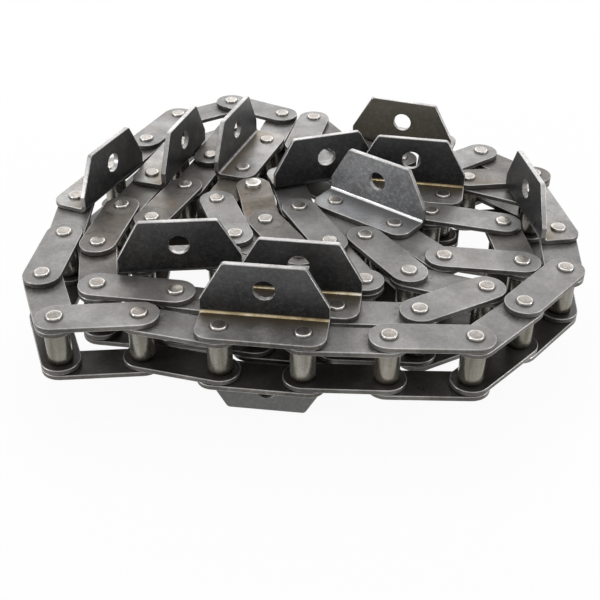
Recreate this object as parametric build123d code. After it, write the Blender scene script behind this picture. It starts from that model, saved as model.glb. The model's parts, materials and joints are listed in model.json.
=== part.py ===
"""Roller conveyor chain with bent attachment tabs, 67 links, lying on its side in a loose pile.

The pins stand upright. Each outer or attachment link carries two riveted pins, each inner link carries
two bushes with a loose roller on each, and a cranked link with a removable pin closes the run.
Millimetres, +Z up. The origin is on the floor, under the middle of the pile.
"""

from build123d import *
import math
import os

# Chain
PITCH = 41.4                 # pin centre to pin centre
INNER_WIDTH = 20.0           # between the two inner plates
PLATE_HEIGHT = 20.4          # inner, outer and cranked plates, measured across the run
PLATE_THICKNESS = 2.8
SIDE_CLEARANCE = 0.4         # inner plate to the outer plate beside it

# Pins, bushes and rollers
PIN_DIAMETER = 7.2
PIN_HEAD_DIAMETER = 8.2      # riveted end, also the upset end
PIN_HEAD_HEIGHT = 1.5
PIN_HEAD_CHAMFER = 0.4
PIN_CLEARANCE = 0.08         # radial, pin in bush
BUSH_DIAMETER = 10.0
ROLLER_DIAMETER = 12.8
ROLLER_CLEARANCE = 0.25      # radial, roller on bush
ROLLER_END_FLOAT = 0.8       # roller is shorter than the inner width by this much
ROLLER_EDGE_RADIUS = 0.5

# Attachment plates
TAB_FACE = 14.2              # pin line to the outer face of the tab
TAB_OVERHANG = 11.8          # plate and tab beyond each pin
TAB_HEIGHT = 29.0            # tab above the plate's outer face
TAB_SHOULDER = 7.5           # height of the tab's square ends above that face
TAB_TOP_WIDTH = 41.0
TAB_TOP_RADIUS = 2.6
TAB_HOLE_DIAMETER = 11.0     # clears an M10 bolt
TAB_HOLE_HEIGHT = 15.1       # hole centre above the plate's outer face
BEND_RADIUS = 1.6            # inside radius of the bend
ATTACHMENT_CORNER_RADIUS = 8.3

# Cranked link and its removable pin
CRANK_STEP_START = 17.0      # from the wide end's pin to the start of the joggle
CRANK_STEP_RUN = 5.0
CRANK_STEP_RADIUS = 2.0      # inside radius of both bends
HEADED_PIN_HEAD_DIAMETER = 9.8
HEADED_PIN_HEAD_HEIGHT = 2.4
HEADED_PIN_TAIL = 5.0        # beyond the lower plate
SPLIT_PIN_DIAMETER = 2.0
SPLIT_PIN_CLEARANCE = 0.15   # radial, in the tail's cross hole
SPLIT_PIN_REACH = 3.2        # legs beyond the tail on the far side
SPLIT_PIN_EYE_RADIUS = 2.0   # middle of the wire in the eye

# The lay of the pile: each link's kind and its heading in degrees, anticlockwise from +X.
# C cranked, O outer, I inner, A attachment. Tabs stand on the left of the heading. A link with an s after
# its heading is stiff at its first pin, so it shares a node with the link before it.
LAY = (
    # from the open end in the middle, out to the back
    "C282 O298 I150s O108 I71 A71 I77",
    # over the back and down the left side of the outer turn
    "O150 I213 O246 I248 A247 I271 O265 I290s",
    # along the front
    "O5 I345 A353 I358 O359",
    # up the right side and back into the pile
    "I46 O49s I84 A98 I153 O7s I133",
    # zigzag behind the right half
    "O216 I80 A161 I289 O149s I117 O258 I318 A198",
    # down through the middle and across to the left
    "I281 O294 I295 O175 I150 A185",
    # up, over and down the second turn on the left
    "I90 O68 I73 O74s I217 A253 I252 O260 I279",
    # along the second turn at the front, to the right
    "O352 I349 A353 I357 O29",
    # back through the middle, and the last turn on the right
    "I159 O121 I112 A322 I306s O353 I95 O164 I140 A350 I140",
)

PLATE_REACH = PLATE_HEIGHT / 2
HALF_INNER = INNER_WIDTH / 2
INNER_FACE = HALF_INNER + PLATE_THICKNESS
OUTER_SEAT = INNER_FACE + SIDE_CLEARANCE
OUTER_FACE = OUTER_SEAT + PLATE_THICKNESS
PIN_BORE = PIN_DIAMETER / 2 + PIN_CLEARANCE
AXLE_HEIGHT = OUTER_FACE + TAB_HEIGHT      # mid-plane of the chain above the floor


def bar_outline():
    """Side plate seen flat: two round ends about pins at 0 and PITCH."""
    return Pos(PITCH / 2, 0) * SlotCenterToCenter(PITCH, PLATE_HEIGHT)


def flat_plate(hole_radius, seat):
    """Straight side plate with its lower face at height seat."""
    outline = bar_outline()
    for x in (0, PITCH):
        outline -= Pos(x, 0) * Circle(hole_radius)
    return Pos(0, 0, seat) * extrude(outline, PLATE_THICKNESS)


def mirrored(piece):
    """The same piece on the lower side of the chain."""
    return mirror(piece, about=Plane.XY)


def tube(outer_radius, inner_radius, bottom, top, edge=0.0):
    """Upright tube with rounded outer rims."""
    half = RectangleRounded(outer_radius * 2, top - bottom, edge) if edge else Rectangle(
        outer_radius * 2, top - bottom)
    body = Plane.XZ * (Pos(0, (bottom + top) / 2) * half)
    solid = revolve(split(body, Plane.YZ), Axis.Z)
    return solid - Pos(0, 0, (bottom + top) / 2) * Cylinder(inner_radius, top - bottom)


def bush():
    """Bush pressed through both inner plates, flush with their outer faces."""
    return Cylinder(BUSH_DIAMETER / 2, 2 * INNER_FACE) - Cylinder(PIN_BORE, 2 * INNER_FACE)


def roller():
    """Loose roller that has dropped on to the lower inner plate."""
    bore = BUSH_DIAMETER / 2 + ROLLER_CLEARANCE
    return tube(ROLLER_DIAMETER / 2, bore, -HALF_INNER, HALF_INNER - ROLLER_END_FLOAT, ROLLER_EDGE_RADIUS)


def rivet_head(direction):
    """Profile points of one riveted pin end, from the shank outwards."""
    top = OUTER_FACE + PIN_HEAD_HEIGHT
    return [
        (PIN_DIAMETER / 2, direction * OUTER_FACE),
        (PIN_HEAD_DIAMETER / 2, direction * OUTER_FACE),
        (PIN_HEAD_DIAMETER / 2, direction * (top - PIN_HEAD_CHAMFER)),
        (PIN_HEAD_DIAMETER / 2 - PIN_HEAD_CHAMFER, direction * top),
        (0, direction * top),
    ]


def riveted_pin():
    """Pin with both ends spread over the outer plates."""
    points = rivet_head(1)[::-1] + rivet_head(-1)
    return revolve(Plane.XZ * make_face(Polyline(*points, close=True)), Axis.Z)


def attachment_plate():
    """Outer plate whose far edge is bent up into a trapezoid tab with a bolt hole.

    It is one piece of metal, kept as two solids that meet where the bend starts: the flat, and the tab.
    """
    top = OUTER_FACE + TAB_HEIGHT
    bend_y = TAB_FACE - PLATE_THICKNESS
    profile = make_face(Polyline(
        (-PLATE_REACH, OUTER_SEAT), (TAB_FACE, OUTER_SEAT), (TAB_FACE, top), (bend_y, top),
        (bend_y, OUTER_FACE), (-PLATE_REACH, OUTER_FACE), close=True))
    inside = profile.vertices().sort_by_distance((bend_y, OUTER_FACE, 0))[0]
    profile = fillet(inside, BEND_RADIUS)
    outside = profile.vertices().sort_by_distance((TAB_FACE, OUTER_SEAT, 0))[0]
    profile = fillet(outside, BEND_RADIUS + PLATE_THICKNESS)
    length = PITCH + 2 * TAB_OVERHANG
    strip = Pos(-TAB_OVERHANG, 0, 0) * extrude(Plane.YZ * profile, length)

    outline = Pos(PITCH / 2, (TAB_FACE - PLATE_REACH) / 2) * Rectangle(length, TAB_FACE + PLATE_REACH)
    outline = fillet(outline.vertices().group_by(Axis.Y)[0], ATTACHMENT_CORNER_RADIUS)
    for x in (0, PITCH):
        outline -= Pos(x, 0) * Circle(PIN_DIAMETER / 2)
    plan = extrude(outline, top)

    middle = PITCH / 2
    shoulder = OUTER_FACE + TAB_SHOULDER
    front = make_face(Polyline(
        (-TAB_OVERHANG, 0), (PITCH + TAB_OVERHANG, 0), (PITCH + TAB_OVERHANG, shoulder),
        (middle + TAB_TOP_WIDTH / 2, top), (middle - TAB_TOP_WIDTH / 2, top), (-TAB_OVERHANG, shoulder),
        close=True))
    front = fillet(front.vertices().group_by(Axis.Y)[-1], TAB_TOP_RADIUS)
    front -= Pos(middle, OUTER_FACE + TAB_HOLE_HEIGHT) * Circle(TAB_HOLE_DIAMETER / 2)
    elevation = extrude(Plane.XZ * front, PITCH, both=True)
    bend_start = Plane((0, bend_y - BEND_RADIUS, 0), z_dir=(0, 1, 0))
    return split(strip & plan & elevation, bend_start, keep=Keep.BOTH).solids()


def cranked_plate():
    """Side plate that steps in from the outer level to the inner level between its pins."""
    step_end = CRANK_STEP_START + CRANK_STEP_RUN
    profile = make_face(Polyline(
        (-PLATE_REACH, OUTER_SEAT), (CRANK_STEP_START, OUTER_SEAT), (step_end, HALF_INNER),
        (PITCH + PLATE_REACH, HALF_INNER), (PITCH + PLATE_REACH, INNER_FACE), (step_end, INNER_FACE),
        (CRANK_STEP_START, OUTER_FACE), (-PLATE_REACH, OUTER_FACE), close=True))
    corners = [v for v in profile.vertices() if abs(v.X - CRANK_STEP_START) < 0.01 or abs(v.X - step_end) < 0.01]
    profile = fillet(corners, CRANK_STEP_RADIUS)
    strip = extrude(Plane.XZ * profile, PLATE_REACH, both=True)
    outline = bar_outline() - Circle(PIN_DIAMETER / 2) - Pos(PITCH, 0) * Circle(BUSH_DIAMETER / 2)
    return strip & extrude(outline, OUTER_FACE)


def headed_pin():
    """Removable pin: flat head above, cross-drilled tail below."""
    top = OUTER_FACE + HEADED_PIN_HEAD_HEIGHT
    bottom = -OUTER_FACE - HEADED_PIN_TAIL
    head = HEADED_PIN_HEAD_DIAMETER / 2
    shank = PIN_DIAMETER / 2
    points = [
        (0, top), (head - PIN_HEAD_CHAMFER, top), (head, top - PIN_HEAD_CHAMFER), (head, OUTER_FACE),
        (shank, OUTER_FACE), (shank, bottom + PIN_HEAD_CHAMFER), (shank - PIN_HEAD_CHAMFER, bottom), (0, bottom)]
    pin = revolve(Plane.XZ * make_face(Polyline(*points, close=True)), Axis.Z)
    hole = Rot(90, 0, 0) * Cylinder(SPLIT_PIN_DIAMETER / 2 + SPLIT_PIN_CLEARANCE, PIN_HEAD_DIAMETER * 2)
    return pin - Pos(0, 0, split_pin_height()) * hole


def split_pin_height():
    """The split pin lies against the lower face of the lower plate."""
    return -OUTER_FACE - SPLIT_PIN_DIAMETER / 2 - SPLIT_PIN_CLEARANCE


def split_pin():
    """Split pin: an eye on one side of the tail and its legs through to the other."""
    reach = PIN_DIAMETER / 2 + SPLIT_PIN_REACH
    eye_y = -PIN_DIAMETER / 2 - SPLIT_PIN_EYE_RADIUS - SPLIT_PIN_DIAMETER / 2
    legs = Rot(90, 0, 0) * Cylinder(SPLIT_PIN_DIAMETER / 2, reach - eye_y - SPLIT_PIN_EYE_RADIUS)
    legs = Pos(0, (reach + eye_y + SPLIT_PIN_EYE_RADIUS) / 2, 0) * legs
    eye = Pos(0, eye_y, 0) * Torus(SPLIT_PIN_EYE_RADIUS, SPLIT_PIN_DIAMETER / 2)
    return Pos(0, 0, split_pin_height()) * (eye + legs)


def inner_pieces():
    """Inner link: two plates, two bushes, two rollers."""
    plate = flat_plate(BUSH_DIAMETER / 2, HALF_INNER)
    pieces = [plate, mirrored(plate)]
    for x in (0, PITCH):
        pieces += [Pos(x, 0, 0) * bush(), Pos(x, 0, 0) * roller()]
    return pieces


def outer_pieces(plate_solids):
    """Outer link of either kind: two plates and two riveted pins."""
    pin = riveted_pin()
    lower_solids = [mirrored(solid) for solid in plate_solids]
    return [*plate_solids, *lower_solids, pin, Pos(PITCH, 0, 0) * pin]


def cranked_pieces():
    """Cranked link: removable pin at the wide end, bush and roller at the narrow end."""
    plate = cranked_plate()
    narrow_end = Pos(PITCH, 0, 0)
    return [plate, mirrored(plate), headed_pin(), split_pin(), narrow_end * bush(), narrow_end * roller()]


def read_lay():
    """The lay as a list of (kind, heading, stiff)."""
    words = " ".join(LAY).split()
    return [(word[0], float(word[1:].rstrip("s")), word.endswith("s")) for word in words]


def pin_line():
    """Pin centres along the run, starting at the cranked link's wide end."""
    points = [Vector(0, 0, 0)]
    for _, heading, _ in read_lay():
        points.append(points[-1] + Vector(PITCH, 0, 0).rotate(Axis.Z, heading))
    return points


NAMES = {"C": "cranked_link", "O": "outer_link", "I": "inner_link", "A": "attachment_link"}


def node_name(numbers):
    """Node name from the link numbers that it holds."""
    kinds = [NAMES[read_lay()[number][0]] for number in numbers]
    if len(numbers) == 1:
        return f"{kinds[0]}_{numbers[0]:02d}"
    return f"stiff_pair_{numbers[0]:02d}_{numbers[-1]:02d}"


def node_groups():
    """Link numbers gathered by node: one each, but a stiff pin keeps two links together."""
    groups = []
    for number, (_, _, stiff) in enumerate(read_lay()):
        if stiff:
            groups[-1].append(number)
        else:
            groups.append([number])
    return groups


def lay_out():
    """All links in place, as {node name: [solids]}, centred over the origin and standing on the floor."""
    kinds = {
        "C": cranked_pieces(),
        "I": inner_pieces(),
        "O": outer_pieces([flat_plate(PIN_DIAMETER / 2, OUTER_SEAT)]),
        "A": outer_pieces(attachment_plate()),
    }
    lay = read_lay()
    starts = pin_line()
    nodes = {}
    for group in node_groups():
        solids = []
        for number in group:
            kind, heading, _ = lay[number]
            place = Pos(starts[number]) * Rot(0, 0, heading)
            solids += [place * piece for piece in kinds[kind]]
        nodes[node_name(group)] = solids
    return nodes


def plan_centre(nodes):
    """Middle of the pile's bounding box in plan."""
    boxes = [Compound(children=[copy for copy in solids]).bounding_box() for solids in nodes.values()]
    x = (min(box.min.X for box in boxes) + max(box.max.X for box in boxes)) / 2
    y = (min(box.min.Y for box in boxes) + max(box.max.Y for box in boxes)) / 2
    return x, y


os.makedirs("parts", exist_ok=True)
NODES = lay_out()
CENTRE_X, CENTRE_Y = plan_centre(NODES)
TO_ROW = Pos(-CENTRE_X, -CENTRE_Y, AXLE_HEIGHT)
for name, solids in NODES.items():
    export_step(Compound(children=[TO_ROW * solid for solid in solids]), f"parts/{name}.step")
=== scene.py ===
"""Looks of the conveyor chain: every link gets its finished steel pieces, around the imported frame."""
import json
import math

import bmesh
import bpy
import numpy as np
from mathutils import Matrix, Vector
from mathutils.geometry import delaunay_2d_cdt


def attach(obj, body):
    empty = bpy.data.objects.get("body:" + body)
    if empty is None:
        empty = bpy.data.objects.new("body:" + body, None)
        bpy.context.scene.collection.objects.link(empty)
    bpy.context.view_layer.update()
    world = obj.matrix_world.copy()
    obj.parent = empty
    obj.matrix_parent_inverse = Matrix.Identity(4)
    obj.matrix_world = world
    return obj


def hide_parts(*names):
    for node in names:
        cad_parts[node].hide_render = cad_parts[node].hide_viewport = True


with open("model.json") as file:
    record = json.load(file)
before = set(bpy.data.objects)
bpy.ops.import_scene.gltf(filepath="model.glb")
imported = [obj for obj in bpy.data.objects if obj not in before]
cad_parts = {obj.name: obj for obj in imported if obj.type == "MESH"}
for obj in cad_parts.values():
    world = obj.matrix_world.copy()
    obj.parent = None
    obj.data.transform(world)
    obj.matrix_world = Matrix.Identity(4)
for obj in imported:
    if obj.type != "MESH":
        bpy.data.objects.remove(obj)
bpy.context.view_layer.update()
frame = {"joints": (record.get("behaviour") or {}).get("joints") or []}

# Sizes of one link in metres, as the solids have them
PITCH = 0.0414
INNER_WIDTH = 0.020
PLATE_HEIGHT = 0.0204
PLATE_THICKNESS = 0.0028
SIDE_CLEARANCE = 0.0004
PIN_DIAMETER = 0.0072
PIN_HEAD_DIAMETER = 0.0082
PIN_HEAD_HEIGHT = 0.0015
PIN_CLEARANCE = 0.00008
BUSH_DIAMETER = 0.010
ROLLER_DIAMETER = 0.0128
ROLLER_CLEARANCE = 0.00025
ROLLER_END_FLOAT = 0.0008
ROLLER_EDGE_RADIUS = 0.0005
TAB_FACE = 0.0142
TAB_OVERHANG = 0.0118
TAB_HEIGHT = 0.029
TAB_SHOULDER = 0.0075
TAB_TOP_WIDTH = 0.041
TAB_TOP_RADIUS = 0.0026
TAB_HOLE_DIAMETER = 0.011
TAB_HOLE_HEIGHT = 0.0151
BEND_RADIUS = 0.0016
ATTACHMENT_CORNER_RADIUS = 0.0083
CRANK_STEP_START = 0.017
CRANK_STEP_RUN = 0.005
CRANK_STEP_RADIUS = 0.002
HEADED_PIN_HEAD_DIAMETER = 0.0098
HEADED_PIN_HEAD_HEIGHT = 0.0024
HEADED_PIN_TAIL = 0.005
SPLIT_PIN_DIAMETER = 0.002
SPLIT_PIN_CLEARANCE = 0.00015
SPLIT_PIN_REACH = 0.0032
SPLIT_PIN_EYE_RADIUS = 0.002

# Finish sizes that only the looks have
PLATE_EDGE = 0.00042
HEAD_EDGE = 0.0005
HEAD_CROWN = 0.00006
CROWN_POINT = (0.55, 0.35)     # shares of the head's radius and of its crown, where the crown bends
PIN_TIP_CHAMFER = 0.0004

# How finely curves are divided
ROUND_STEPS = 48
BORE_STEPS = 32
PLATE_END_STEPS = 16
CORNER_STEPS = 10
PLATE_EDGE_STEPS = 3
TURNED_EDGE_STEPS = 4
BEND_STEPS = 8
EYE_STEPS = 24

# Edges that turn by less than this are shaded smooth
SMOOTH_PLATE_TURN = math.radians(25)
SMOOTH_TURNED_TURN = math.radians(40)

# Differences that are only rounding
SAME_PLACE = 1e-9
SAME_LENGTH = 1e-12
ON_THE_LEVEL = 1e-16      # product of two distances from it

# The UV map that keeps each face corner's place on the flat plate, or its radius and height on a turned part
MARKS = "marks"

# Kind and heading in degrees of every link, as the solids lie
LAY = (
    "C282 O298 I150 O108 I71 A71 I77",
    "O150 I213 O246 I248 A247 I271 O265 I290",
    "O5 I345 A353 I358 O359",
    "I46 O49 I84 A98 I153 O7 I133",
    "O216 I80 A161 I289 O149 I117 O258 I318 A198",
    "I281 O294 I295 O175 I150 A185",
    "I90 O68 I73 O74 I217 A253 I252 O260 I279",
    "O352 I349 A353 I357 O29",
    "I159 O121 I112 A322 I306 O353 I95 O164 I140 A350 I140",
)
STIFF_HINGES = (2, 14, 21, 25, 31, 45, 60)     # the link of this number shares a node with the one before it
NAMES = {"C": "cranked_link", "O": "outer_link", "I": "inner_link", "A": "attachment_link"}

PLATE_REACH = PLATE_HEIGHT / 2
HALF_INNER = INNER_WIDTH / 2
INNER_FACE = HALF_INNER + PLATE_THICKNESS
OUTER_SEAT = INNER_FACE + SIDE_CLEARANCE
OUTER_FACE = OUTER_SEAT + PLATE_THICKNESS
PIN_BORE = PIN_DIAMETER / 2 + PIN_CLEARANCE

# Slots, one for each material
(BARE, SCUFFED_SHADED, OIL_AND_SHADE, FLANGE, TAB, BEND, RIM, PIN, ROLLER, BUSH, SPLIT,
 WALL, GRIME_AND_SHADE_PLATE, RUSTY, WORN_FLANGE, WORN_TAB, WHITE_HIGHLIGHT_BEND, DULL_TAB, WEAK_HIGHLIGHT_BEND, LOW_TAB) = range(20)

# What a finish puts in place of a slot
WORN = {FLANGE: WORN_FLANGE, TAB: WORN_TAB, BEND: WHITE_HIGHLIGHT_BEND}
DULL = {TAB: DULL_TAB}
WEAK_BEND_HIGHLIGHT = {BEND: WEAK_HIGHLIGHT_BEND}
GRIME_AND_SHADE = {BARE: GRIME_AND_SHADE_PLATE, SCUFFED_SHADED: GRIME_AND_SHADE_PLATE}
RUSTED = {BARE: RUSTY, SCUFFED_SHADED: RUSTY}
# lower plates darker: oil, and painted shade under the upper plates
LOWER = {BARE: OIL_AND_SHADE, SCUFFED_SHADED: OIL_AND_SHADE, FLANGE: OIL_AND_SHADE, TAB: LOW_TAB}

# Links with a finish of their own
# darker plates: grime on most of these links, painted shade on links 25, 26 and 45
GRIME_AND_SHADE_LINKS = (1, 25, 26, 32, 43, 44, 45, 48, 49, 50, 62)
FINISHES = {0: RUSTED, 4: RUSTED, 5: WEAK_BEND_HIGHLIGHT, 29: DULL, 59: WORN}
FINISHES.update((number, GRIME_AND_SHADE) for number in GRIME_AND_SHADE_LINKS)


# ---- flat outlines --------------------------------------------------------------------------

def circle(x, y, radius, steps=ROUND_STEPS):
    """Closed ring of points."""
    turns = [2 * math.pi * i / steps for i in range(steps)]
    return [(x + radius * math.cos(t), y + radius * math.sin(t)) for t in turns]


def rounded(points, radii):
    """Closed outline with each corner rounded to its radius."""
    out = []
    count = len(points)
    for i, radius in enumerate(radii):
        corner = Vector(points[i])
        if radius == 0:
            out.append(tuple(corner))
            continue
        before = (Vector(points[i - 1]) - corner).normalized()
        after = (Vector(points[(i + 1) % count]) - corner).normalized()
        half = before.angle(after) / 2
        reach = radius / math.tan(half)
        centre = corner + (before + after).normalized() * radius / math.sin(half)
        start = corner + before * reach - centre
        end = corner + after * reach - centre
        turn = start.angle_signed(end)
        for k in range(CORNER_STEPS + 1):
            spin = Matrix.Rotation(-turn * k / CORNER_STEPS, 2)
            out.append(tuple(centre + spin @ start))
    return out


def stadium(pitch):
    """Outline of a link plate round its two pins."""
    out = []
    for x, first in ((pitch, -90), (0, 90)):
        for k in range(PLATE_END_STEPS + 1):
            angle = math.radians(first + 180 * k / PLATE_END_STEPS)
            out.append((x + PLATE_REACH * math.cos(angle), PLATE_REACH * math.sin(angle)))
    return out


# ---- sheet metal ----------------------------------------------------------------------------

# A template is one piece as (points, faces, slots, normals, marks), with one slot and one row of corner
# normals and of marks for each face.

def ring_normals(ring):
    """How a unit offset to the left moves each point of a closed ring, and its two edges' left normals."""
    points = [Vector(p) for p in ring]
    lefts = []
    for here, after in zip(points, points[1:] + points[:1]):
        along = (after - here).normalized()
        lefts.append(Vector((-along.y, along.x)))
    moves, pairs = [], []
    for i, after in enumerate(lefts):
        before = lefts[i - 1]
        half = (before + after).normalized()
        moves.append(half / half.dot(after))
        smooth = before.dot(after) > math.cos(SMOOTH_PLATE_TURN)
        pairs.append((half, half) if smooth else (before, after))
    return moves, pairs


def rim_steps(edge):
    """(inset, height, share outward, share up) of the rings down a plate's rim."""
    if not edge:
        return [(0, 0, 1, 0), (0, -PLATE_THICKNESS, 1, 0)]
    upper = []
    for k in range(PLATE_EDGE_STEPS + 1):
        angle = math.radians(90 - 90 * k / PLATE_EDGE_STEPS)
        outward, up = math.cos(angle), math.sin(angle)
        upper.append((edge * (1 - outward), -edge * (1 - up), outward, up))
    lower = [(inset, -PLATE_THICKNESS - height, outward, -up)
             for inset, height, outward, up in reversed(upper)]
    return upper + lower


def inside(point, ring):
    """True if a point lies in a closed ring."""
    hit = False
    for (ax, ay), (bx, by) in zip(ring, ring[1:] + ring[:1]):
        crosses = (ay > point[1]) != (by > point[1])
        if crosses and point[0] < (bx - ax) * (point[1] - ay) / (by - ay) + ax:
            hit = not hit
    return hit


def rim_slots(steps, middle, zones):
    """The slots down a rim: a painted highlight round the edges, with the wall's own slot between them."""
    walls = [wall for low, high, _, wall, _ in zones if low < middle < high] or [WALL]
    drops = [above[1] - below[1] for above, below in zip(steps, steps[1:])]
    return [walls[0] if drop > PLATE_THICKNESS / 2 else RIM for drop in drops]


def rim_normal(place, left, step):
    """Normal of the rim at one of its steps, from the left normal of the ring."""
    _, ex, ey, up = place
    return (up * step[3] - (ex * left.x + ey * left.y) * step[2]).normalized()


def add_rim(template, flat, ring, edge, place, axis, zones):
    """Adds a ring's rim, and (x, y, upper point, lower point) of its corners to flat. Gives its edges."""
    points, faces, slots, normals, marks = template
    moves, pairs = ring_normals(ring)
    steps = rim_steps(edge)
    places = [place(x, y) for x, y in ring]
    first = len(flat)
    for (x, y), move, (origin, ex, ey, up) in zip(ring, moves, places):
        top = len(points)
        outward = ex * move.x + ey * move.y
        points += [origin + outward * inset + up * height for inset, height, *_ in steps]
        flat.append((x + move.x * steps[0][0], y + move.y * steps[0][0], top, len(points) - 1))
    count = len(ring)
    for i in range(count):
        j = (i + 1) % count
        slots += rim_slots(steps, (ring[i][axis] + ring[j][axis]) / 2, zones)
        for k in range(len(steps) - 1):
            corners = ((i, 1, k), (i, 1, k + 1), (j, 0, k + 1), (j, 0, k))
            faces.append(tuple(flat[first + n][2] + row for n, _, row in corners))
            normals.append([rim_normal(places[n], pairs[n][side], steps[row]) for n, side, row in corners])
            marks.append([ring[n] for n, _, _ in corners])
    return [(first + i, first + (i + 1) % count) for i in range(count)]


def add_sides(template, flat, edges, rings, place, slot, axis, zones):
    """Adds the upper and lower side between the rims, in triangles that keep to the edges."""
    _, faces, slots, normals, marks = template
    across = [(x, y) for x, y, _, _ in flat]
    made = delaunay_2d_cdt([Vector(p) for p in across], edges, [], 0, SAME_PLACE)
    _, _, triangles, origins, _, _ = made
    source = [group[0] for group in origins]
    outline, *holes = [ring for ring, _ in rings]
    for triangle in triangles:
        corners = [source[i] for i in triangle]
        middle = [sum(across[i][k] for i in corners) / 3 for k in (0, 1)]
        if not inside(middle, outline) or any(inside(middle, hole) for hole in holes):
            continue
        ups = [place(*across[i])[3] for i in corners]
        upper, lower = slot, slot
        for low, high, over, _, under in zones:
            if low < middle[axis] < high:
                upper, lower = over, under
        for side, sign, own in ((2, 1, upper), (3, -1, lower)):
            faces.append(tuple(flat[i][side] for i in corners[::sign]))
            normals.append([up * sign for up in ups[::sign]])
            slots.append(own)
            marks.append([across[i] for i in corners[::sign]])


def sheet_solid(rings, place, slot, levels=(), axis=1, zones=()):
    """Plate from flat rings (points, edge radius), the outline first, all anticlockwise.

    place(x, y) gives a point of the upper side, and what x, y and up turn into there. The sides are cut at
    levels along axis, and a zone (low, high, upper slot, wall slot, lower slot) has slots of its own.
    """
    template = [], [], [], [], []
    points, faces, slots, normals, marks = template
    flat, edges = [], []
    for number, (ring, edge) in enumerate(rings):
        edges += add_rim(template, flat, ring[::-1] if number else ring, edge, place, axis, zones)
    outline = rings[0][0]
    for level in levels:
        ends = [i for i, p in enumerate(outline) if abs(p[axis] - level) < SAME_PLACE]
        edges.append((min(ends), max(ends)))
    add_sides(template, flat, edges, rings, place, slot, axis, zones)
    return np.array(points), faces, slots, normals, marks


def both_sides(template):
    """The upper plate and its mirror image below, which is darker with oil and painted shade under the upper
    plate, and has a greyer tab.
    """
    points, faces, slots, normals, marks = template
    flip = Vector((1, 1, -1))
    faces = [face[::-1] for face in faces]
    normals = [[normal * flip for normal in row[::-1]] for row in normals]
    marks = [row[::-1] for row in marks]
    return [template, finished((points * np.array(flip), faces, slots, normals, marks), LOWER)]


def finished(template, finish):
    """The same piece with other slots, by {slot: slot}."""
    points, faces, slots, normals, marks = template
    return points, faces, [finish.get(slot, slot) for slot in slots], normals, marks


def with_levels(ring, levels, axis):
    """A ring with points added where its edges cross the levels."""
    out = []
    for a, b in zip(ring, ring[1:] + ring[:1]):
        out.append(a)
        crossed = [level for level in levels if (a[axis] - level) * (b[axis] - level) < -ON_THE_LEVEL]
        for level in sorted(crossed, key=lambda value: abs(value - a[axis])):
            share = (level - a[axis]) / (b[axis] - a[axis])
            out.append(tuple(level if k == axis else a[k] + (b[k] - a[k]) * share for k in (0, 1)))
    return out


def bent_path(profile):
    """Runs along a polyline with rounded bends: profile is [(along, up, bend radius)].

    A run is (kind, length before it, its length, start, heading, turn, radius).
    """
    runs = []
    position = 0.0
    cursor = Vector(profile[0][:2])
    for i in range(1, len(profile)):
        corner = Vector(profile[i][:2])
        radius = profile[i][2]
        heading = (corner - cursor).normalized()
        if radius:
            after = (Vector(profile[i + 1][:2]) - corner).normalized()
            turn = -heading.angle_signed(after)
            reach = abs(math.tan(turn / 2)) * radius
        else:
            turn, reach = 0.0, 0.0
        length = (corner - cursor).length - reach
        runs.append(("line", position, length, cursor.copy(), heading, 0.0, 0.0))
        position += length
        cursor = cursor + heading * length
        if radius:
            runs.append(("arc", position, abs(turn) * radius, cursor.copy(), heading, turn, radius))
            position += abs(turn) * radius
            cursor = corner + after * reach
    return runs


def on_path(runs, s):
    """Point and upward normal of the path at length s."""
    run = runs[0]
    for candidate in runs:
        if s >= candidate[1] - SAME_LENGTH:
            run = candidate
    kind, begin, length, start, heading, turn, radius = run
    side = Vector((-heading.y, heading.x))
    if kind == "line":
        return start + heading * (s - begin), side
    part = turn * (s - begin) / length
    sign = 1 if turn > 0 else -1
    centre = start + side * radius * sign
    spin = Matrix(((math.cos(part), -math.sin(part)), (math.sin(part), math.cos(part))))
    return centre + spin @ (start - centre), spin @ side


def bend_levels(runs):
    """Where the flat pattern is cut across through its bends, and the span of each bend."""
    levels, bends = [], []
    for kind, begin, length, *_ in runs:
        if kind == "arc":
            levels += [begin + length * k / BEND_STEPS for k in range(BEND_STEPS + 1)]
            bends.append((begin, begin + length))
    return levels, bends


def straight_plate(bore, seat, slot):
    """Flat link plate, upper and lower."""
    def place(x, y):
        """A plate that stays flat."""
        return Vector((x, y, seat + PLATE_THICKNESS)), Vector((1, 0, 0)), Vector((0, 1, 0)), Vector((0, 0, 1))

    rings = [(stadium(PITCH), PLATE_EDGE)]
    rings += [(circle(x, 0, bore, BORE_STEPS), 0) for x in (0, PITCH)]
    return both_sides(sheet_solid(rings, place, slot))


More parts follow.
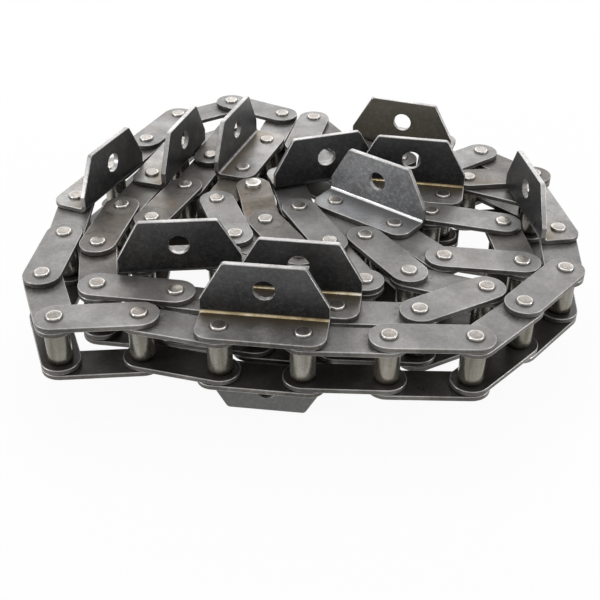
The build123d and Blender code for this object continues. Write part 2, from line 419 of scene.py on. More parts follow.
def attachment_plate():
    """Plate whose far side is bent up into the tab, upper and lower."""
    top = OUTER_FACE + TAB_HEIGHT
    # the path follows the upper side of the metal, across the plate and up the near side of the tab
    near = TAB_FACE - PLATE_THICKNESS
    runs = bent_path([(-PLATE_REACH, OUTER_FACE, 0), (near, OUTER_FACE, BEND_RADIUS), (near, top, 0)])
    levels, bends = bend_levels(runs)
    rise = bends[0][1] - BEND_RADIUS - OUTER_FACE     # path length less height, up the tab
    middle = PITCH / 2
    left, right = -TAB_OVERHANG, PITCH + TAB_OVERHANG
    corner = ATTACHMENT_CORNER_RADIUS
    shoulder = OUTER_FACE + TAB_SHOULDER + rise
    outline = rounded(
        [(left, 0), (right, 0), (right, shoulder), (middle + TAB_TOP_WIDTH / 2, top + rise),
         (middle - TAB_TOP_WIDTH / 2, top + rise), (left, shoulder)],
        [corner, corner, 0, TAB_TOP_RADIUS, TAB_TOP_RADIUS, 0])
    rings = [(with_levels(outline, levels, 1), PLATE_EDGE)]
    rings += [(circle(x, PLATE_REACH, PIN_DIAMETER / 2, BORE_STEPS), 0) for x in (0, PITCH)]
    hole = circle(middle, OUTER_FACE + TAB_HOLE_HEIGHT + rise, TAB_HOLE_DIAMETER / 2)
    rings.append((hole, PLATE_EDGE / 2))

    def place(x, s):
        """Across the plate, and up the tab."""
        point, out = on_path(runs, s)
        along = Vector((0, out.y, -out.x))
        return Vector((x, point.x, point.y)), Vector((1, 0, 0)), along, Vector((0, out.x, out.y))

    low, high = bends[0]
    zones = [(low, high, BEND, WALL, TAB), (high, top + 2 * rise, TAB, RIM, TAB)]
    return both_sides(sheet_solid(rings, place, FLANGE, levels, 1, zones))


def cranked_plate():
    """Plate that steps from the outer to the inner level, upper and lower."""
    step_end = CRANK_STEP_START + CRANK_STEP_RUN
    low = INNER_FACE
    runs = bent_path([
        (-PLATE_REACH, OUTER_FACE, 0), (CRANK_STEP_START, OUTER_FACE, CRANK_STEP_RADIUS + PLATE_THICKNESS),
        (step_end, low, CRANK_STEP_RADIUS), (PITCH + PLATE_REACH, low, 0)])
    levels, _ = bend_levels(runs)
    levels = [level - PLATE_REACH for level in levels]
    pitch = runs[-1][1] + runs[-1][2] - 2 * PLATE_REACH
    rings = [
        (with_levels(stadium(pitch), levels, 0), PLATE_EDGE),
        (circle(0, 0, PIN_DIAMETER / 2, BORE_STEPS), 0),
        (circle(pitch, 0, BUSH_DIAMETER / 2, BORE_STEPS), 0)]

    def place(s, y):
        """Along the plate, and down its step."""
        point, out = on_path(runs, s + PLATE_REACH)
        return (Vector((point.x, y, point.y)), Vector((out.y, 0, -out.x)), Vector((0, 1, 0)),
                Vector((out.x, 0, out.y)))

    return both_sides(sheet_solid(rings, place, BARE, levels, 0))


# ---- turned parts ---------------------------------------------------------------------------

def solid_rows(mesh, slot):
    """A smooth mesh as points, faces, slots, corner normals and marks, which are radius and height."""
    mesh.polygons.foreach_set("use_smooth", [True] * len(mesh.polygons))
    mesh.set_sharp_from_angle(angle=SMOOTH_TURNED_TURN)
    points = np.array([v.co for v in mesh.vertices])
    faces = [tuple(p.vertices) for p in mesh.polygons]
    corners = [Vector(n.vector) for n in mesh.corner_normals]
    normals = [[corners[i] for i in p.loop_indices] for p in mesh.polygons]
    marks = [[(math.hypot(*points[i][:2]), points[i][2]) for i in face] for face in faces]
    bpy.data.meshes.remove(mesh)
    return points, faces, [slot] * len(faces), normals, marks


def turned(profile, slot):
    """Solid of revolution. profile is [(radius, height)], closed unless it meets the axis."""
    solid = bmesh.new()
    rings = []
    for radius, height in profile:
        ring = [(0, 0)] if radius < SAME_PLACE else circle(0, 0, radius)
        rings.append([solid.verts.new((x, y, height)) for x, y in ring])
    pairs = list(zip(rings, rings[1:]))
    if len(rings[0]) > 1 and len(rings[-1]) > 1:
        pairs.append((rings[-1], rings[0]))
    for low, high in pairs:
        for i in range(ROUND_STEPS):
            j = (i + 1) % ROUND_STEPS
            corners = [low[i % len(low)], low[j % len(low)], high[j % len(high)], high[i % len(high)]]
            solid.faces.new(list(dict.fromkeys(corners)))
    bmesh.ops.recalc_face_normals(solid, faces=solid.faces[:])
    mesh = bpy.data.meshes.new("turned")
    solid.to_mesh(mesh)
    solid.free()
    return solid_rows(mesh, slot)


def quarter(radius, height, size, first):
    """Points of a rounded edge in a turned profile; first is the angle at which it starts."""
    out = []
    for k in range(TURNED_EDGE_STEPS + 1):
        angle = math.radians(first + 90 * k / TURNED_EDGE_STEPS)
        out.append((radius + size * math.cos(angle), height + size * math.sin(angle)))
    return out


def head(radius, base, height, sign):
    """Profile of a pressed head from its seat to the axis, at the upper (1) or lower (-1) end."""
    top = base + height
    edge = quarter(radius - HEAD_EDGE, top - HEAD_CROWN - HEAD_EDGE, HEAD_EDGE, 0)
    crown = [(radius * CROWN_POINT[0], top - HEAD_CROWN * CROWN_POINT[1]), (0, top)]
    points = [(radius, base)] + edge + crown
    return [(r, z * sign) for r, z in points]


def riveted_pin():
    """Pin with a pressed head at each end."""
    shank = PIN_DIAMETER / 2
    upper = head(PIN_HEAD_DIAMETER / 2, OUTER_FACE, PIN_HEAD_HEIGHT, 1)
    lower = head(PIN_HEAD_DIAMETER / 2, OUTER_FACE, PIN_HEAD_HEIGHT, -1)
    return turned(lower[::-1] + [(shank, -OUTER_FACE), (shank, OUTER_FACE)] + upper, PIN)


def bush():
    """Tube through both inner plates."""
    inner, outer = PIN_BORE, BUSH_DIAMETER / 2
    wall = [(inner, -INNER_FACE), (outer, -INNER_FACE), (outer, INNER_FACE), (inner, INNER_FACE)]
    return turned(wall, BUSH)


def roller():
    """Free roller with rounded rims."""
    inner = BUSH_DIAMETER / 2 + ROLLER_CLEARANCE
    outer = ROLLER_DIAMETER / 2
    bottom, top = -HALF_INNER, HALF_INNER - ROLLER_END_FLOAT     # it has dropped onto the lower plate
    edge = ROLLER_EDGE_RADIUS
    low = quarter(outer - edge, bottom + edge, edge, -90)
    high = quarter(outer - edge, top - edge, edge, 0)
    return turned([(inner, bottom)] + low + high + [(inner, top)], ROLLER)


def headed_pin():
    """Removable pin of the open end."""
    shank = PIN_DIAMETER / 2
    bottom = -OUTER_FACE - HEADED_PIN_TAIL
    chamfer = PIN_TIP_CHAMFER
    upper = head(HEADED_PIN_HEAD_DIAMETER / 2, OUTER_FACE, HEADED_PIN_HEAD_HEIGHT, 1)
    tail = [(0, bottom), (shank - chamfer, bottom), (shank, bottom + chamfer), (shank, OUTER_FACE)]
    return turned(tail + upper, PIN)


def split_pin():
    """Split pin: eye, and its legs as one bar through the tail of the headed pin."""
    radius = SPLIT_PIN_DIAMETER / 2
    level = -OUTER_FACE - radius - SPLIT_PIN_CLEARANCE
    reach = PIN_DIAMETER / 2 + SPLIT_PIN_REACH
    eye = -PIN_DIAMETER / 2 - SPLIT_PIN_EYE_RADIUS - radius
    curve = bpy.data.curves.new("split_pin", "CURVE")
    curve.dimensions = "3D"
    curve.bevel_depth = radius
    curve.bevel_resolution = 4
    curve.use_fill_caps = True
    turns = [2 * math.pi * k / EYE_STEPS for k in range(EYE_STEPS)]
    ring = [(SPLIT_PIN_EYE_RADIUS * math.sin(a), eye - SPLIT_PIN_EYE_RADIUS * math.cos(a)) for a in turns]
    legs = [(0, eye + SPLIT_PIN_EYE_RADIUS), (0, reach)]
    for points, closed in ((ring, True), (legs, False)):
        spline = curve.splines.new("POLY")
        spline.points.add(len(points) - 1)
        for point, (x, y) in zip(spline.points, points):
            point.co = (x, y, level, 1)
        spline.use_cyclic_u = closed
    holder = bpy.data.objects.new("split_pin", curve)
    bpy.context.scene.collection.objects.link(holder)
    depsgraph = bpy.context.evaluated_depsgraph_get()
    mesh = bpy.data.meshes.new_from_object(holder.evaluated_get(depsgraph))
    bpy.data.objects.remove(holder)
    return solid_rows(mesh, SPLIT)


# ---- materials ------------------------------------------------------------------------------

# Colours of what lies on the steel, and of painted shade and highlight, in sRGB
OLD_OIL = (112, 88, 64)
# painted shade in the corner round a pin's head
HEAD_SHADE = (40, 37, 33)
# scuffs, with painted contact shade, where the next link's plate ends over an inner plate
RUB_DIRT_AND_SHADE = (52, 48, 43)
# painted highlight round a pin head's rim
PIN_RIM_HIGHLIGHT = (212, 208, 203)
ROLLER_PITS = (70, 66, 58)
ROLLER_SHADE = (60, 58, 54)
ROLLER_OIL = (30, 25, 18)

# Where it begins and ends, in metres
HEAD_SHADE_WIDTH = 0.0013                   # painted shade round a pin's head
RUB_INNER = (-0.0002, 0.0005)           # scuff ring with painted contact shade beyond the rounded end of the next link's plate: how it begins
RUB_OUTER = (0.0012, 0.0045)            # and how it fades
TAB_REFLECTION_ON_FOOT = (0.009, 0.0195)            # painted reflection of the tab, from the front edge of the flat attachment plate
TAB_FADE = (0.024, 0.050)               # from the same edge: dark foot of painted shade, and lighter top of the tab
PIN_HIGHLIGHT_RING = (-0.0009, -0.0003)     # painted highlight, from the head's rim
ROLLER_OIL_BAND = (0.0009, 0.0032)      # from the roller's lower end

# The surface itself
BEND_FADE = (0.06, 0.46)                # shares of the bend's arc, from the middle of its painted highlight
GLOSS_SPREAD = (-0.08, 0.12)            # smears about a steel's own roughness
STEEL_RELIEF = 0.00006
TAB_RELIEF = 0.00004

# Scales of the noise that each pattern is made of
BLOTCH_SCALE = 38
GRAIN_SCALE = 430
SPECK_SCALE = 1100
PIT_SCALE = 650
STAIN_SCALE = 20
SMEAR_SCALE = 85
FINE_RELIEF_SCALE = 900
COARSE_RELIEF_SCALE = 240
RUB_AND_SHADE_SCALE = 330
BEND_HIGHLIGHT_SCALE = 60
TAB_PATCH_SCALE = 30
TAB_SPECK_SCALE = 1300
PIN_BLOTCH_SCALE = 160
PIN_HIGHLIGHT_SCALE = 420
ROLLER_STREAK_SCALE = 150
ROLLER_PIT_SCALE = 800
SCRATCHES = (     # scale, stretch and turn of the two crossed sets
    (60, (1.0, 26.0, 1.0), (0, 0, 0.6)),
    (70, (24.0, 1.0, 1.0), (0, 0, 0.25)),
)


def linear(colour):
    """sRGB 0-255 as linear RGBA."""
    shares = [channel / 255 for channel in colour]
    return (*(c / 12.92 if c <= 0.04045 else ((c + 0.055) / 1.055) ** 2.4 for c in shares), 1.0)


COLOUR_A, COLOUR_B, COLOUR_RESULT = 6, 7, 2     # sockets of a Mix node that mixes colours


class Graph:
    """Short names for building a node material."""

    def __init__(self, name):
        """New material, with the object's own coordinates and the marks to build on."""
        self.material = bpy.data.materials.new(name)
        self.material.use_nodes = True
        self.nodes = self.material.node_tree.nodes
        self.links = self.material.node_tree.links
        self.shader = self.nodes["Principled BSDF"]
        self.where = self.nodes.new("ShaderNodeTexCoord").outputs["Object"]
        marks = self.nodes.new("ShaderNodeUVMap")
        marks.uv_map = MARKS
        split = self.nodes.new("ShaderNodeSeparateXYZ")
        self.link(marks.outputs["UV"], split.inputs["Vector"])
        self.across, self.up = split.outputs["X"], split.outputs["Y"]

    def link(self, source, target):
        """Join an output to an input."""
        self.links.new(source, target)

    def noise(self, scale, detail, roughness, stretch=None, turn=(0, 0, 0)):
        """Noise over the object, which stretch and turn can draw out into streaks."""
        node = self.nodes.new("ShaderNodeTexNoise")
        node.inputs["Scale"].default_value = scale
        node.inputs["Detail"].default_value = detail
        node.inputs["Roughness"].default_value = roughness
        source = self.where
        if stretch:
            mapping = self.nodes.new("ShaderNodeMapping")
            mapping.inputs["Scale"].default_value = stretch
            mapping.inputs["Rotation"].default_value = turn
            self.link(source, mapping.inputs["Vector"])
            source = mapping.outputs["Vector"]
        self.link(source, node.inputs["Vector"])
        return node.outputs["Fac"]

    def ramp(self, source, stops):
        """Colour ramp; stops are (place, sRGB)."""
        node = self.nodes.new("ShaderNodeValToRGB")
        elements = node.color_ramp.elements
        while len(elements) < len(stops):
            elements.new(0.5)
        for element, (place, colour) in zip(elements, stops):
            element.position = place
            element.color = linear(colour)
        self.link(source, node.inputs["Fac"])
        return node.outputs["Color"]

    def span(self, source, low, high, to_low=0.0, to_high=1.0):
        """Map a range of values, clamped."""
        node = self.nodes.new("ShaderNodeMapRange")
        for socket, value in zip(("From Min", "From Max", "To Min", "To Max"), (low, high, to_low, to_high)):
            node.inputs[socket].default_value = value
        self.link(source, node.inputs["Value"])
        return node.outputs["Result"]

    def mix(self, factor, a, b):
        """Mix two colours; b may be a socket or sRGB, factor a socket or a number."""
        node = self.nodes.new("ShaderNodeMix")
        node.data_type = "RGBA"
        for key, value in (("Factor", factor), (COLOUR_A, a), (COLOUR_B, b)):
            socket = node.inputs[key]
            if isinstance(value, (int, float)):
                socket.default_value = value
            elif isinstance(value, tuple):
                socket.default_value = linear(value)
            else:
                self.link(value, socket)
        return node.outputs[COLOUR_RESULT]

    def math(self, kind, a, b=0):
        """One operation on sockets or numbers."""
        node = self.nodes.new("ShaderNodeMath")
        node.operation = kind
        for socket, value in zip(node.inputs, (a, b)):
            if isinstance(value, (int, float)):
                socket.default_value = value
            else:
                self.link(value, socket)
        return node.outputs[0]

    def bump(self, heights, distance):
        """Fine relief."""
        node = self.nodes.new("ShaderNodeBump")
        node.inputs["Distance"].default_value = distance
        self.link(heights, node.inputs["Height"])
        self.link(node.outputs["Normal"], self.shader.inputs["Normal"])


def base_steel(g, dark, mid, light, blotches=BLOTCH_SCALE):
    """Blotches of scale and oil, fine bright specks, dark pits and crossed scratches."""
    colour = g.ramp(g.noise(blotches, 5, 0.62), [(0.30, dark), (0.50, mid), (0.72, light)])
    grain = g.ramp(g.noise(GRAIN_SCALE, 6, 0.8), [(0.36, dark), (0.50, mid), (0.64, light)])
    colour = g.mix(0.28, colour, grain)
    colour = g.mix(g.span(g.noise(SPECK_SCALE, 2, 0.6), 0.60, 0.74, 0, 0.55), colour, light)
    colour = g.mix(g.span(g.noise(PIT_SCALE, 3, 0.6), 0.58, 0.72, 0, 0.5), colour, dark)
    first, second = [g.noise(scale, 3, 0.6, stretch, turn) for scale, stretch, turn in SCRATCHES]
    lines = g.math("MAXIMUM", g.span(first, 0.66, 0.74), g.span(second, 0.68, 0.76))
    return g.mix(g.math("MULTIPLY", lines, 0.4), colour, light)


def finish_steel(g, colour, metallic, rough, relief=STEEL_RELIEF):
    """Colour, metal, smeared gloss and a fine uneven surface."""
    g.link(colour, g.shader.inputs["Base Color"])
    g.shader.inputs["Metallic"].default_value = metallic
    gloss = g.span(g.noise(SMEAR_SCALE, 4, 0.6), 0.3, 0.7, *[rough + spread for spread in GLOSS_SPREAD])
    g.link(gloss, g.shader.inputs["Roughness"])
    fine = g.math("MULTIPLY", g.noise(FINE_RELIEF_SCALE, 3, 0.7), 0.5)
    coarse = g.math("MULTIPLY", g.noise(COARSE_RELIEF_SCALE, 3, 0.6), 0.8)
    g.bump(g.math("ADD", fine, coarse), relief)
    return g.material


def stained(g, colour, amount=0.4):
    """Brown patches of old oil and a little rust."""
    stain = g.math("MULTIPLY", g.span(g.noise(STAIN_SCALE, 6, 0.68), 0.52, 0.70), amount)
    return g.mix(stain, colour, OLD_OIL)


def round_pins(g, level=0.0):
    """Distance to the nearer of a plate's two pins, which are at a level of the flat plate."""
    middle = g.math("ABSOLUTE", g.math("SUBTRACT", g.across, PITCH / 2))
    pairs = ((middle, PITCH / 2), (g.up, level))
    squares = [g.math("POWER", g.math("SUBTRACT", *pair), 2.0) for pair in pairs]
    return g.math("SQRT", g.math("ADD", *squares))


def pin_head_shade(g, colour, away):
    """Painted shade in the corner between a pin's head and its plate."""
    reach = PIN_HEAD_DIAMETER / 2
    return g.mix(g.span(away, reach, reach + HEAD_SHADE_WIDTH, 0.9, 0), colour, HEAD_SHADE)


def plate_steel(name, scuff_and_shade, dark, mid, light, stain=0.25):
    """Link plates: grey steel with painted shade round the pins, and scuffs with painted contact shade where
    the next link's plates rub.
    """
    g = Graph(name)
    colour = stained(g, base_steel(g, dark, mid, light), stain)
    away = round_pins(g)
    colour = pin_head_shade(g, colour, away)
    if scuff_and_shade:
        # scuff ring with painted contact shade beyond the next link's plate end
        begins = g.span(away, *[PLATE_REACH + offset for offset in RUB_INNER])
        ends = g.span(away, *[PLATE_REACH + offset for offset in RUB_OUTER], 1, 0)
        ring = g.math("MINIMUM", begins, ends)
        broken = g.span(g.noise(RUB_AND_SHADE_SCALE, 4, 0.7), 0.40, 0.62, 0, 0.7)
        colour = g.mix(g.math("MULTIPLY", ring, broken), colour, RUB_DIRT_AND_SHADE)
    return finish_steel(g, colour, 0.6, 0.40)


def flange_steel(name, dark, mid, light, bend):
    """Foot of an attachment plate, with a painted brown reflection of the tab towards the bend."""
    g = Graph(name)
    colour = stained(g, base_steel(g, dark, mid, light), 0.4)
    colour = pin_head_shade(g, colour, round_pins(g, PLATE_REACH))
    towards = g.span(g.up, *TAB_REFLECTION_ON_FOOT, 0, 0.85)
    return finish_steel(g, g.mix(towards, colour, bend), 0.6, 0.36)


def bend_steel(name, dim_highlight, mid, bright, side):
    """Bend, with a painted highlight along its middle that is dimmer in places."""
    g = Graph(name)
    shine = g.ramp(g.noise(BEND_HIGHLIGHT_SCALE, 4, 0.65), [(0.36, dim_highlight), (0.52, mid), (0.68, bright)])
    arc = math.pi / 2 * BEND_RADIUS
    start = PLATE_REACH + TAB_FACE - PLATE_THICKNESS - BEND_RADIUS
    off = g.math("ABSOLUTE", g.math("SUBTRACT", g.up, start + arc / 2))
    fade = g.span(off, *[share * arc for share in BEND_FADE])
    return finish_steel(g, g.mix(fade, shine, side), 0.75, 0.28)


def tab_steel(name, low, high, light, metallic, rough, speckle=0.22):
    """Upright tab: painted shade towards the bend, lighter towards the top, dusted with fine specks."""
    g = Graph(name)
    uneven = g.span(g.noise(TAB_PATCH_SCALE, 4, 0.6), 0.3, 0.7, -0.25, 0.25)
    rise = g.math("ADD", g.span(g.up, *TAB_FADE), uneven)
    colour = g.ramp(rise, [(0.1, low), (0.95, high)])
    grain = g.ramp(g.noise(GRAIN_SCALE, 6, 0.8), [(0.36, low), (0.50, high), (0.64, light)])
    colour = g.mix(speckle, colour, grain)
    colour = g.mix(g.span(g.noise(TAB_SPECK_SCALE, 2, 0.6), 0.64, 0.74, 0, 0.5), colour, light)
    colour = stained(g, colour, 0.08)
    return finish_steel(g, colour, metallic, rough, TAB_RELIEF)


def pin_steel():
    """Pin: dull brownish face, with a painted highlight round its rim."""
    g = Graph("pin_steel")
    face = base_steel(g, (104, 99, 94), (132, 127, 122), (168, 164, 160), PIN_BLOTCH_SCALE)
    face = stained(g, face, 0.3)
    ring = g.span(g.across, *[PIN_HEAD_DIAMETER / 2 + offset for offset in PIN_HIGHLIGHT_RING])
    uneven = g.span(g.noise(PIN_HIGHLIGHT_SCALE, 3, 0.6), 0.30, 0.55, 0.55, 1)
    edge = g.math("MULTIPLY", ring, uneven)
    return finish_steel(g, g.mix(edge, face, PIN_RIM_HIGHLIGHT), 0.85, 0.26)


def roller_steel():
    """Roller: upright olive and brown streaks, and an oily ring where it stands on the lower plate."""
    g = Graph("roller_steel")
    streak = g.noise(ROLLER_STREAK_SCALE, 4, 0.6, (1.0, 1.0, 0.12))
    colour = g.ramp(streak, [(0.30, (108, 104, 92)), (0.50, (146, 143, 133)), (0.70, (184, 182, 174))])
    colour = stained(g, colour, 0.35)
    pits = g.span(g.noise(ROLLER_PIT_SCALE, 3, 0.6), 0.58, 0.72, 0, 0.5)
    colour = g.mix(pits, colour, ROLLER_PITS)
    colour = g.mix(g.span(g.up, HALF_INNER, -HALF_INNER, 0.35, 0), colour, ROLLER_SHADE)
    oil = g.span(g.up, *[-HALF_INNER + offset for offset in ROLLER_OIL_BAND], 0.9, 0)
    colour = g.mix(oil, colour, ROLLER_OIL)
    return finish_steel(g, colour, 0.8, 0.22)


def plain_steel(name, dark, mid, light, metallic, rough):
    """Steel with nothing but the base pattern."""
    g = Graph(name)
    return finish_steel(g, base_steel(g, dark, mid, light), metallic, rough)


# Colours in sRGB from dark to light, then what the kind of steel takes: stain, painted tab reflection or side
# colour, metal and roughness, speckle
MATERIALS = {
    BARE: plate_steel("outer_plate", False, (94, 92, 90), (117, 116, 115), (146, 145, 144)),
    SCUFFED_SHADED: plate_steel("inner_plate", True, (90, 88, 86), (113, 112, 111), (142, 141, 140)),
    # darker plates: grime, and painted shade on some links
    GRIME_AND_SHADE_PLATE: plate_steel("grime_and_shade_plate", True, (64, 61, 57), (88, 85, 81), (122, 119, 115), 0.5),
    RUSTY: plate_steel("rusty_plate", True, (74, 68, 60), (98, 92, 84), (130, 124, 116), 0.85),
    # lower plates: oil, and painted shade under the upper plates
    OIL_AND_SHADE: plain_steel("lower_plate_oil_and_shade", (46, 44, 41), (66, 63, 60), (94, 91, 87), 0.5, 0.34),
    # foot lighter than the plates: painted light against its tab's shadow; browner towards the bend: painted
    # reflection of the tab
    FLANGE: flange_steel("foot_painted_light_and_reflection", (96, 94, 91), (130, 128, 126), (170, 169, 168), (92, 79, 56)),
    WORN_FLANGE: flange_steel(
        "worn_foot", (118, 118, 119), (152, 152, 153), (196, 197, 199), (112, 112, 112)),
    # tab much darker than the plates: painted dark reflection
    TAB: tab_steel("tab_painted_reflection_and_shade", (29, 29, 30), (73, 73, 74), (124, 124, 124), 0.35, 0.34),
    WORN_TAB: tab_steel("worn_tab", (104, 105, 107), (148, 149, 151), (216, 217, 220), 0.6, 0.34, 0.40),
    DULL_TAB: tab_steel("dull_tab", (92, 89, 78), (118, 115, 103), (160, 157, 146), 0.45, 0.36),
    LOW_TAB: tab_steel("low_tab", (84, 84, 83), (100, 100, 99), (150, 150, 149), 0.5, 0.40),
    # bends with a painted highlight along their middle; weaker on some links, white on the worn link
    BEND: bend_steel("bend_painted_highlight", (118, 101, 70), (182, 166, 132), (234, 228, 212), (78, 68, 50)),
    WEAK_HIGHLIGHT_BEND: bend_steel("bend_weak_painted_highlight", (96, 95, 93), (140, 139, 138), (178, 177, 177), (84, 82, 80)),
    WHITE_HIGHLIGHT_BEND: bend_steel("bend_white_painted_highlight", (186, 186, 186), (226, 226, 226), (246, 246, 247), (120, 120, 120)),
    # painted highlight on the rounded edges
    RIM: plain_steel("edge_painted_highlight", (121, 119, 118), (154, 152, 151), (197, 196, 195), 0.75, 0.34),
    # painted shade on the upright edge walls
    WALL: plain_steel("edge_wall_painted_shade", (58, 55, 50), (86, 83, 78), (128, 125, 120), 0.6, 0.42),
    PIN: pin_steel(),
    ROLLER: roller_steel(),
    BUSH: plain_steel("bush_steel", (66, 64, 60), (92, 90, 85), (124, 121, 116), 0.7, 0.38),
    SPLIT: plain_steel("split_pin_steel", (120, 118, 114), (156, 153, 148), (196, 193, 188), 0.85, 0.30),
}


# ---- links in place -------------------------------------------------------------------------

def placed(template, matrix):
    """A template's arrays moved by a rotation and shift about the vertical."""
    points, faces, slots, normals, marks = template
    turn = np.array(matrix.to_3x3())
    shift = np.array(matrix.translation)
    normals = np.array([normal for row in normals for normal in row])
    marks = np.array([mark for row in marks for mark in row])
    return points @ turn.T + shift, faces, slots, normals @ turn.T, marks


def joined(name, parts):
    """One mesh object from several placed templates."""
    points, faces, slots, normals, marks = [], [], [], [], []
    offset = 0
    for part_points, part_faces, part_slots, part_normals, part_marks in parts:
        points.append(part_points)
        faces += [tuple(i + offset for i in face) for face in part_faces]
        slots += part_slots
        normals.append(part_normals)
        marks.append(part_marks)
        offset += len(part_points)
    mesh = bpy.data.meshes.new(name)
    mesh.from_pydata(np.concatenate(points).tolist(), [], faces)
    used = sorted(set(slots))
    for slot in used:
        mesh.materials.append(MATERIALS[slot])
    mesh.polygons.foreach_set("material_index", [used.index(slot) for slot in slots])
    mesh.polygons.foreach_set("use_smooth", [True] * len(faces))
    corners = np.concatenate(marks).astype(np.float32).ravel()
    mesh.uv_layers.new(name=MARKS).uv.foreach_set("vector", corners)
    mesh.update()
    mesh.normals_split_custom_set(np.concatenate(normals).tolist())
    piece = bpy.data.objects.new(name, mesh)
    bpy.context.scene.collection.objects.link(piece)
    return piece


def link_kinds():
    """Templates of each kind of link, in the link's own frame."""
    here = Matrix.Identity(4)
    far = Matrix.Translation((PITCH, 0, 0))
    pin, tube, wheel = riveted_pin(), bush(), roller()
    pins = [(pin, here), (pin, far)]
    inner = [(plate, here) for plate in straight_plate(BUSH_DIAMETER / 2, HALF_INNER, SCUFFED_SHADED)]
    inner += [(part, end) for part in (tube, wheel) for end in (here, far)]
    outer = [(plate, here) for plate in straight_plate(PIN_DIAMETER / 2, OUTER_SEAT, BARE)] + pins
    tabbed = [(plate, here) for plate in attachment_plate()] + pins
    cranked = [(plate, here) for plate in cranked_plate()]
    cranked += [(headed_pin(), here), (split_pin(), here), (tube, far), (wheel, far)]
    return {"I": inner, "O": outer, "A": tabbed, "C": cranked}


def first_hinge():
    """Where the frame has the hinge between links 0 and 1."""
    hinge = next(joint for joint in frame["joints"] if joint["name"] == "hinge_01")
    return Vector(hinge["pos_m"])


def link_places():
    """(kind, matrix) of every link, along the lay from the first hinge of the frame."""
    lay = [(word[0], math.radians(float(word[1:]))) for word in " ".join(LAY).split()]
    steps = [Vector((math.cos(heading), math.sin(heading), 0)) * PITCH for _, heading in lay]
    start = first_hinge() - steps[0]
    out = []
    for (kind, heading), step in zip(lay, steps):
        out.append((kind, Matrix.Translation(start) @ Matrix.Rotation(heading, 4, "Z")))
        start = start + step
    return out


def node_names(places):
    """{node name: link numbers}."""
    groups = []
    for number in range(len(places)):
        if number in STIFF_HINGES:
            groups[-1].append(number)
        else:
            groups.append([number])
    names = {}
    for group in groups:
        if len(group) == 2:
            names[f"stiff_pair_{group[0]:02d}_{group[1]:02d}"] = group
        else:
            names[f"{NAMES[places[group[0]][0]]}_{group[0]:02d}"] = group
    return names


def dress_links():
    """Every node's finished piece, on its own body."""
    kinds = link_kinds()
    places = link_places()
    for node, numbers in node_names(places).items():
        parts = []
        for number in numbers:
            kind, matrix = places[number]
            finish = FINISHES.get(number, {})
            for template, local in kinds[kind]:
                parts.append(placed(finished(template, finish), matrix @ local))
        piece = joined(f"{node}_steel", parts)
        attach(piece, node)
        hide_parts(node)


# ---- stage ----------------------------------------------------------------------------------

VIEW_ELEVATION = math.radians(34.86)
VIEW_ROLL = math.radians(0.34)
VIEW_DISTANCE = 0.5138
VIEW_LENS = 61.58
VIEW_AIM = Vector((0.01996, -0.08247, 0.0179))     # from the first hinge
SENSOR_WIDTH = 36.0
NEAR_CLIP = 0.01

LAMP_AIM = Vector((0, 0, 0.03))
LAMPS = {     # place, width, height and power
    "overhead": ((-0.05, 0.2, 1.0), 0.9, 0.9, 4.0),
    "behind": ((0, 0.9, 0.5), 1.3, 0.45, 3.8),
    "left": ((-0.8, -0.3, 0.16), 0.3, 0.3, 3.0),
    "right": ((0.8, -0.25, 0.16), 0.3, 0.3, 2.5),
}
WORLD_LEVEL = 0.45      # light of the world on the object
FLOOR_REACH = 6.0
FLOOR_GREY = 0.9
FLOOR_GLOW = 0.94       # share of plain white that the camera sees; the rest keeps the shadow


def camera():
    """Camera that looks down on the pile from the front."""
    aim = first_hinge() + VIEW_AIM
    forward = Vector((0, math.cos(VIEW_ELEVATION), -math.sin(VIEW_ELEVATION)))
    right = Vector((1, 0, 0))
    up = right.cross(forward)
    turned_right = right * math.cos(VIEW_ROLL) + up * math.sin(VIEW_ROLL)
    turned_up = up * math.cos(VIEW_ROLL) - right * math.sin(VIEW_ROLL)
    eye = aim - forward * VIEW_DISTANCE
    data = bpy.data.cameras.new("camera")
    data.lens = VIEW_LENS
    data.sensor_width = SENSOR_WIDTH
    data.clip_start = NEAR_CLIP
    obj = bpy.data.objects.new("camera", data)
    obj.matrix_world = Matrix((
        (turned_right.x, turned_up.x, -forward.x, eye.x),
        (turned_right.y, turned_up.y, -forward.y, eye.y),
        (turned_right.z, turned_up.z, -forward.z, eye.z),
        (0, 0, 0, 1)))
    bpy.context.scene.collection.objects.link(obj)
    bpy.context.scene.camera = obj


def lamp(name, position, width, height, power):
    """Soft rectangular lamp, aimed at the pile."""
    data = bpy.data.lights.new(name, "AREA")
    data.shape = "RECTANGLE"
    data.size = width
    data.size_y = height
    data.energy = power
    obj = bpy.data.objects.new(name, data)
    obj.location = position
    obj.rotation_euler = (LAMP_AIM - Vector(position)).to_track_quat("-Z", "Y").to_euler()
    bpy.context.scene.collection.objects.link(obj)


def seen(nodes, links):
    """1 for camera, glossy and transmission rays."""
    path = nodes.new("ShaderNodeLightPath")
    total = path.outputs["Is Camera Ray"]
    for other in ("Is Glossy Ray", "Is Transmission Ray"):
        add = nodes.new("ShaderNodeMath")
        add.operation = "MAXIMUM"
        links.new(total, add.inputs[0])
        links.new(path.outputs[other], add.inputs[1])
        total = add.outputs[0]
    return total


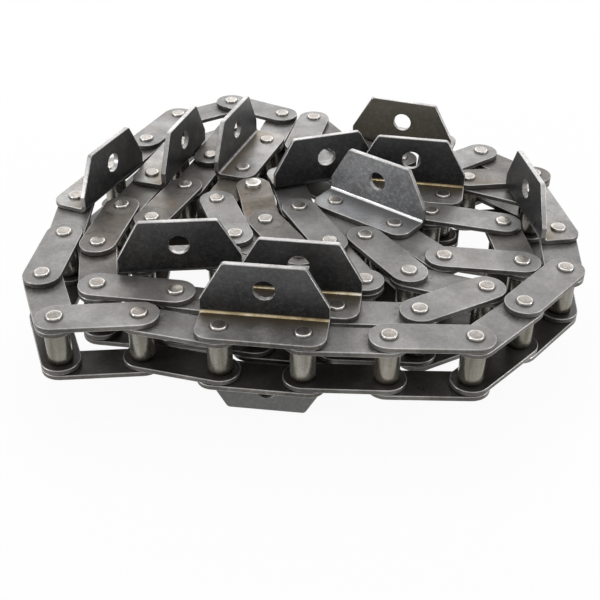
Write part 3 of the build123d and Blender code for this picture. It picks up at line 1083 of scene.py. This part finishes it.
def surroundings():
    """World that looks plain white, and lights the pile at a lower level."""
    world = bpy.data.worlds.new("studio")
    bpy.context.scene.world = world
    world.use_nodes = True
    nodes, links = world.node_tree.nodes, world.node_tree.links
    background = nodes["Background"]
    background.inputs["Color"].default_value = (1, 1, 1, 1)
    span = nodes.new("ShaderNodeMapRange")
    span.inputs["To Min"].default_value = WORLD_LEVEL
    span.inputs["To Max"].default_value = 1.0
    links.new(seen(nodes, links), span.inputs["Value"])
    links.new(span.outputs["Result"], background.inputs["Strength"])


def floor_material():
    """Pale matt floor, mostly plain white to the camera."""
    material = bpy.data.materials.new("pale_floor")
    material.use_nodes = True
    nodes, links = material.node_tree.nodes, material.node_tree.links
    shader = nodes["Principled BSDF"]
    shader.inputs["Base Color"].default_value = (FLOOR_GREY, FLOOR_GREY, FLOOR_GREY, 1)
    shader.inputs["Roughness"].default_value = 0.9
    shader.inputs["Specular IOR Level"].default_value = 0.0
    glow = nodes.new("ShaderNodeEmission")
    glow.inputs["Strength"].default_value = 1.0
    mix = nodes.new("ShaderNodeMixShader")
    share = nodes.new("ShaderNodeMath")
    share.operation = "MULTIPLY"
    share.inputs[1].default_value = FLOOR_GLOW
    links.new(seen(nodes, links), share.inputs[0])
    links.new(share.outputs[0], mix.inputs["Fac"])
    links.new(shader.outputs[0], mix.inputs[1])
    links.new(glow.outputs[0], mix.inputs[2])
    links.new(mix.outputs[0], nodes["Material Output"].inputs["Surface"])
    return material


def floor():
    """Wide floor under the pile."""
    mesh = bpy.data.meshes.new("floor")
    corners = [(x * FLOOR_REACH, y * FLOOR_REACH, 0) for x, y in ((-1, -1), (1, -1), (1, 1), (-1, 1))]
    mesh.from_pydata(corners, [], [(0, 1, 2, 3)])
    mesh.materials.append(floor_material())
    plane = bpy.data.objects.new("floor", mesh)
    bpy.context.scene.collection.objects.link(plane)


def stage():
    """White surroundings, plain soft lamps and a pale floor."""
    surroundings()
    for name, settings in LAMPS.items():
        lamp(name, *settings)
    floor()


bpy.context.scene.view_settings.view_transform = "Standard"
camera()
stage()
dress_links()
